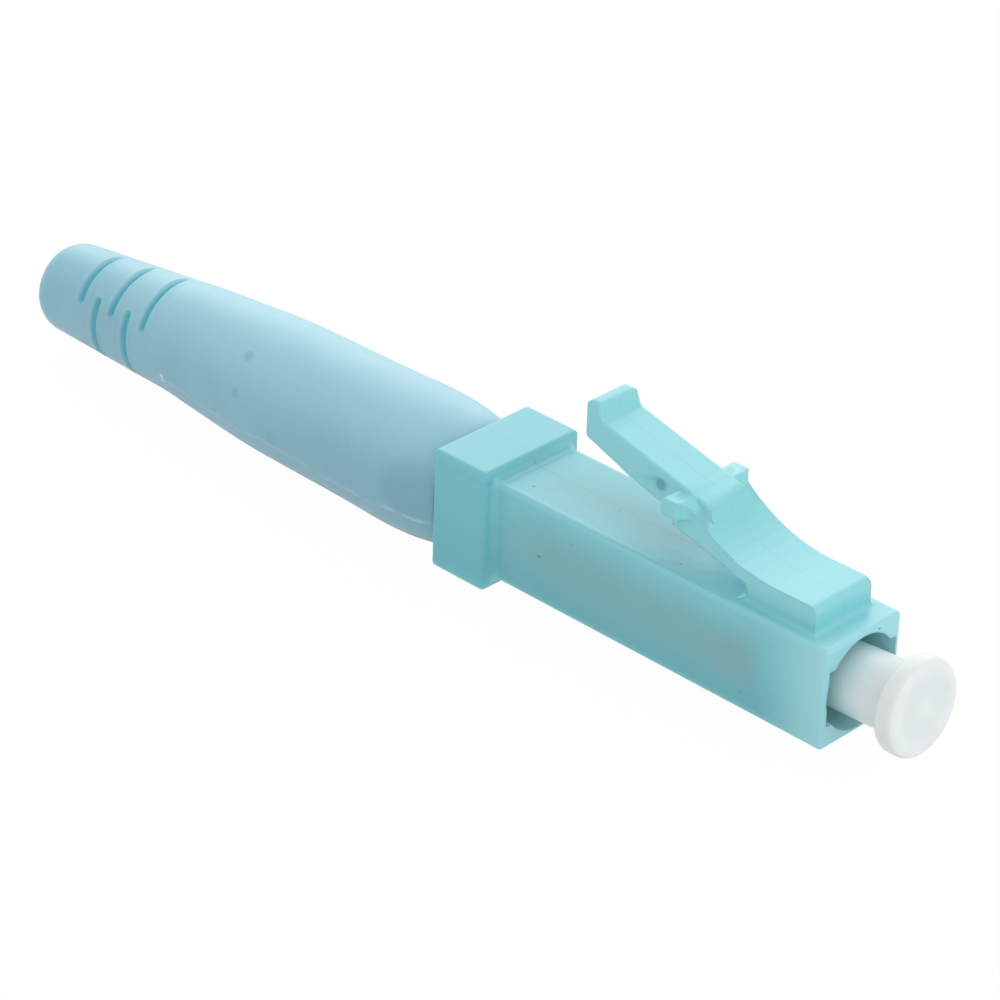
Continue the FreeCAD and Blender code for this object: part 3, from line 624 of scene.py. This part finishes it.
# %% [markdown]
# The rubber is a cloudy teal, painted paler where it looks up as painted light from above. The
# grooves show a stronger teal, painted light that soaks in and is trapped between their walls. A
# little light is let in under the surface, as a constant. Dull round patches of painted shade from
# the parts inside sit by the collar and on the flank, and specks sit where handling leaves them.

# %% Colours and marks of the boot
BOOT_DEEP, BOOT_TEAL, BOOT_TOP_LIGHT = rgb(124, 172, 190), rgb(128, 181, 195), rgb(150, 197, 210)
SLOT_LIGHT_TEAL, FLASH_PALE, FLECK = rgb(84, 190, 206), rgb(168, 204, 214), rgb(214, 226, 222)
BOOT_SHADE, BOOT_SPECK = rgb(108, 154, 172), rgb(86, 120, 132)
SHADE_PATCHES = {(-15.1, -2.06, 2.11): 0.34, (-15.0, -2.95, 0.63): 0.32}
BOOT_SPECKS = {(-7.9, -2.95, 0.95): 0.08, (-7.3, -2.8, 1.2): 0.064, (-10.4, -3.1, -0.9): 0.096,
               (-9.0, -3.1, 0.2): 0.048}


# %% The boot's finish
def make_soft_aqua():
    finish = Finish("soft_aqua", Roughness=0.44, Specular_IOR_Level=0.65,
                    Subsurface_Weight=0.25, Subsurface_Scale=0.0012,
                    Subsurface_Radius=(0.5, 1.0, 1.0))
    colour = finish.mix(finish.noise(0.16).rise(0.35, 0.65), BOOT_DEEP, BOOT_TEAL)
    haze = finish.noise(0.5, 3.0)
    # painted light from above: paler towards the top
    colour = finish.mix(finish.z.rise(0.2, 2.6) * (0.6 + haze * 0.3), colour, BOOT_TOP_LIGHT)
    # painted shade of the parts inside, by the collar, on the flank and in two round patches
    by_collar = spot(finish, (-4.3, -3.1, 0.2), 1.9) * 0.45
    on_flank = spot(finish, (-12.6, -2.8, -0.6), 0.6) * 0.25
    colour = finish.mix(by_collar + on_flank, colour, BOOT_SHADE)
    colour = paint_spots(finish, colour, SHADE_PATCHES, 0.45, BOOT_SHADE)
    # painted light trapped in the grooves: a stronger teal
    colour = finish.mix(finish.stored("dent").rise(0.1, 0.9) * 0.9, colour, SLOT_LIGHT_TEAL)
    broken = finish.noise(1.1).rise(0.30, 0.62) * 0.75 + 0.1
    ridge = finish.stored("flash") * broken * (0.4 + finish.x.rise(-8.5, -5.0) * 0.6)
    colour = finish.mix(ridge, colour, FLASH_PALE)
    fleck = spot(finish, (-20.3, -2.58, -0.86), 0.30) * finish.noise(4.0, 3.0).rise(0.42, 0.56)
    colour = finish.mix(fleck, colour, FLECK)
    colour = paint_spots(finish, colour, BOOT_SPECKS, 0.7, BOOT_SPECK)
    grain = finish.noise(7.0, 3.0)
    return finish.feed(Base_Color=colour, Roughness=0.38 + grain * 0.12,
                       Normal=finish.bump(grain * 0.3 + haze * 0.6, 0.25, 0.03))


boot = finished("soft_boot", boot_shape, make_soft_aqua(), sharp=60.0)
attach(boot, "plug")
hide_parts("boot")


# %% [markdown]
# ## Dust cap
#
# The cap is a milky soft plastic that lets some light through, so aqua light from the plug is
# painted onto its barrel near the mouth. Its face has a very shallow dish with a paler middle,
# where the plastic entered the mould, and painted shade on the slope round it. It sits a little out
# of true on the ferrule.

# %% The cap's outline
CAP_SEAT, CAP_LEAN, CAP_BORE = 17.45, math.radians(3.2), 0.7245
CAP_OUTLINE = [(15.90, 0.80), (15.90, 1.19), (16.15, 1.44), (20.02, 1.49), (20.14, 1.54),
               (20.19, 1.66), (20.19, 1.93), (20.26, 2.05), (20.38, 2.10), (20.88, 2.105),
               (21.04, 2.06), (21.12, 1.93), (21.13, 1.72), (21.10, 1.56), (21.05, 1.36),
               (21.02, 1.10), (21.015, 0.80), (21.03, 0.50), (21.055, 0.25), (21.06, 0.0),
               (19.30, 0.0), (19.30, CAP_BORE), (15.96, CAP_BORE)]
BARREL_STEPS = [0.1, 0.1, 0.4, 0.06, 0.06, 0.1]
RIM_STEP, CAP_BORE_STEP = 0.06, 1.0
steps = BARREL_STEPS + [RIM_STEP] * 13 + [CAP_BORE_STEP] * 4
cap_shape = divided_outline(CAP_OUTLINE, steps, 0)
rim = [vert for vert in cap_shape.verts if vert.co.x > 19.9 and vert.co.z > 0.1]
for _ in range(3):
    bmesh.ops.smooth_vert(cap_shape, verts=rim, factor=0.5, use_axis_x=True, use_axis_y=True,
                          use_axis_z=True)
spin_outline(cap_shape, 0, 96)
bmesh.ops.rotate(cap_shape, cent=(CAP_SEAT, 0, 0), matrix=Matrix.Rotation(-CAP_LEAN, 3, "Y"),
                 verts=cap_shape.verts)
bmesh.ops.scale(cap_shape, vec=(MM, MM, MM), verts=cap_shape.verts)

# %% Milky cap
CAP_FACE, CAP_CLOUD_AND_SHADE, CAP_AQUA_LIGHT = rgb(215, 222, 223), rgb(207, 215, 217), rgb(198, 224, 226)


def make_milky_cap():
    finish = Finish("milky_cap", Roughness=0.36, Specular_IOR_Level=0.5,
                    Subsurface_Weight=0.3, Subsurface_Scale=0.001)
    cloud = finish.noise(0.7)
    colour = finish.mix(cloud.rise(0.35, 0.75) * 0.5, CAP_FACE, CAP_CLOUD_AND_SHADE)
    # painted aqua light from the plug on the barrel near the mouth
    colour = finish.mix(finish.x.rise(20.1, 17.4), colour, CAP_AQUA_LIGHT)
    # painted shade on the dish's slope, round its paler middle
    from_middle = (finish.y ** 2 + (finish.z - 0.2) ** 2) ** 0.5
    dish = from_middle.band(0.45, 1.35, 0.3) * finish.x.rise(20.7, 20.95)
    colour = finish.mix(dish * 0.5, colour, CAP_CLOUD_AND_SHADE)
    return finish.feed(Base_Color=colour, Roughness=0.32 + cloud * 0.10,
                       Normal=finish.bump(finish.noise(6.0), 0.12, 0.02))


cap = finished("milky_dust_cap", cap_shape, make_milky_cap(), sharp=50.0)
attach(cap, "cap")
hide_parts("dust_cap")


# %% [markdown]
# ## The parts inside
#
# The ferrule is a polished ceramic, the flange, the post, the crimped sleeve and the splice's rod
# are metal, and the fibre and the tubes round it are clear. They show only with the cap off or in a
# cutaway, so each keeps its solid and gets a plain finish: rings round the axis for the metal, as a
# lathe leaves them, and a faint cloud for the others.


# %% Metal, ceramic and clear tube
def make_turned_metal():
    finish = Finish("turned_metal", Metallic=1.0)
    rings = finish.node("ShaderNodeTexNoise", {"noise_dimensions": "1D"}, W=finish.x,
                        Scale=14.0, Detail=3.0)
    ring = Amount(finish, rings.outputs["Fac"])
    return finish.feed(Base_Color=finish.mix(ring, rgb(178, 178, 176), rgb(204, 203, 200)),
                       Roughness=0.24 + ring * 0.16)


def make_cloudy(name, lumps, first, second, roughness, spread):
    """A plain finish that drifts a little between two colours."""
    finish = Finish(name)
    cloud = finish.noise(lumps)
    return finish.feed(Base_Color=finish.mix(cloud, first, second),
                       Roughness=roughness + cloud * spread)


METAL = make_turned_metal()
CERAMIC = make_cloudy("ceramic", 2.0, rgb(240, 240, 236), rgb(231, 232, 229), 0.10, 0.06)
TUBE = make_cloudy("clear_tube", 1.5, rgb(226, 231, 232), rgb(208, 216, 219), 0.25, 0.1)
for node in ("ferrule_flange", "rear_body", "crimp_sleeve", "splice_rod"):
    wear(node, METAL)
wear("ferrule", CERAMIC)
for node in ("fibre_guide_tube", "fibre_stub", "splice_sleeve", "splice_melt_tube"):
    wear(node, TUBE)


# %% [markdown]
# ## The coil spring
#
# The spring sits between the rear body, which stands still, and the ferrule's flange, which slides
# back by 0.8 mm when the plug mates. A stiff copy would push through its seat as the ferrule
# slides;
# here the copy rides on the plug, with a mesh of its own.

# %% Coil spring
coil = finished("coil_spring", merged_copy("spring"), METAL, sharp=40.0)
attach(coil, "plug")
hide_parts("spring")
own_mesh(coil)


# %% [markdown]
# ## Camera
#
# The camera looks down on the plug's right-hand side from in front. Its place is worked out from
# the angles round the plug and its distance, as a tripod would be set. A camera could be turned by
# hand until the view looks right, but angles can be read and changed.

# %% Camera
AZIMUTH, ELEVATION, ROLL = (math.radians(angle) for angle in (43.3333, 30.2550, 1.9180))
DISTANCE = 170.609 * MM
SHIFT_RIGHT, SHIFT_UP = -1.299 * MM, 0.467 * MM
FOCAL_LENGTH, SENSOR_WIDTH = 147.207, 36.0


def set_camera():
    back = Vector((math.sin(AZIMUTH) * math.cos(ELEVATION),
                   -math.cos(AZIMUTH) * math.cos(ELEVATION), math.sin(ELEVATION)))
    level = Vector((0, 0, 1)).cross(back).normalized()
    upright = back.cross(level)
    right = level * math.cos(ROLL) + upright * math.sin(ROLL)
    up = upright * math.cos(ROLL) - level * math.sin(ROLL)
    camera = bpy.data.objects.new("camera", bpy.data.cameras.new("camera"))
    bpy.context.scene.collection.objects.link(camera)
    place = right * SHIFT_RIGHT + up * SHIFT_UP + back * DISTANCE
    camera.matrix_world = (Matrix.Translation(place)
                           @ Matrix((right, up, back)).transposed().to_4x4())
    camera.data.lens = FOCAL_LENGTH
    camera.data.sensor_width = SENSOR_WIDTH
    camera.data.clip_start = 0.01
    bpy.context.scene.camera = camera


set_camera()
print("camera", round(DISTANCE / MM), "mm from the collar")

# %% [markdown]
# ## Floor and light
#
# The plug lies in a white tent: even light from all round, a large soft lamp behind and a small
# one in front. A pale floor would show grey in such light, and more light would wash the plug out.
# So the floor glows for what sees it directly, while the light that falls on the plug stays at its
# own level. The floor keeps a trace of the plug's shadow.


# %% What is seen directly
def seen_directly(tree):
    """1 for what the camera sees, and for what shows in gloss or through clear things."""
    rays = add_node(tree, "ShaderNodeLightPath")
    total = rays.outputs["Is Camera Ray"]
    for kind in ("Is Glossy Ray", "Is Transmission Ray"):
        total = add_node(tree, "ShaderNodeMath", {"operation": "MAXIMUM"}, total,
                         rays.outputs[kind]).outputs[0]
    return total


# %% Floor
FLOOR_HALF, FLOOR_GREY, FLOOR_GLOW = 3.0, (0.82, 0.82, 0.82, 1), 0.97


def make_white_floor():
    finish = Finish("white_floor", Base_Color=FLOOR_GREY, Roughness=0.9, Specular_IOR_Level=0.0)
    glow = finish.node("ShaderNodeEmission")
    mix = finish.node("ShaderNodeMixShader", None,
                      Amount(finish, seen_directly(finish.tree)) * FLOOR_GLOW,
                      finish.shader.outputs[0], glow.outputs[0])
    wire(finish.tree, finish.tree.nodes["Material Output"].inputs["Surface"], mix.outputs[0])
    return finish.material


floor_shape = bmesh.new()
bmesh.ops.create_grid(floor_shape, x_segments=1, y_segments=1, size=FLOOR_HALF)
bmesh.ops.translate(floor_shape, vec=(0, 0, cad_box[0][2]), verts=floor_shape.verts)
floor = finished("floor", floor_shape, make_white_floor(), sharp=30.0)


# %% World
def make_world(strength):
    """A pale wall where it is seen directly, and this strong as light."""
    world = bpy.data.worlds.new("world")
    bpy.context.scene.world = world
    world.use_nodes = True
    tree = world.node_tree
    lit = tree.nodes["Background"]
    wire(tree, lit.inputs["Color"], (1, 1, 1, 1))
    wire(tree, lit.inputs["Strength"], strength)
    seen = add_node(tree, "ShaderNodeBackground", None, Strength=1.0)
    mix = add_node(tree, "ShaderNodeMixShader", None, seen_directly(tree), lit.outputs[0],
                   seen.outputs[0])
    wire(tree, tree.nodes["World Output"].inputs["Surface"], mix.outputs[0])
    print("the world lights at", strength)


make_world(0.96)


# %% Softboxes
def add_softbox(name, place, size, watts):
    """A square lamp that faces the plug's collar."""
    light = bpy.data.lights.new(name, "AREA")
    light.size = size
    light.energy = watts
    lamp = bpy.data.objects.new(name, light)
    bpy.context.scene.collection.objects.link(lamp)
    lamp.location = place
    lamp.rotation_euler = Vector(place).to_track_quat("Z", "Y").to_euler()
    print(name, "gives", watts, "W")


add_softbox("back_softbox", (-0.28, 0.32, 0.24), 0.5, 1.1)
add_softbox("front_softbox", (0.40, 0.05, 0.14), 0.3, 0.4)
bpy.context.scene.view_settings.view_transform = "Standard"
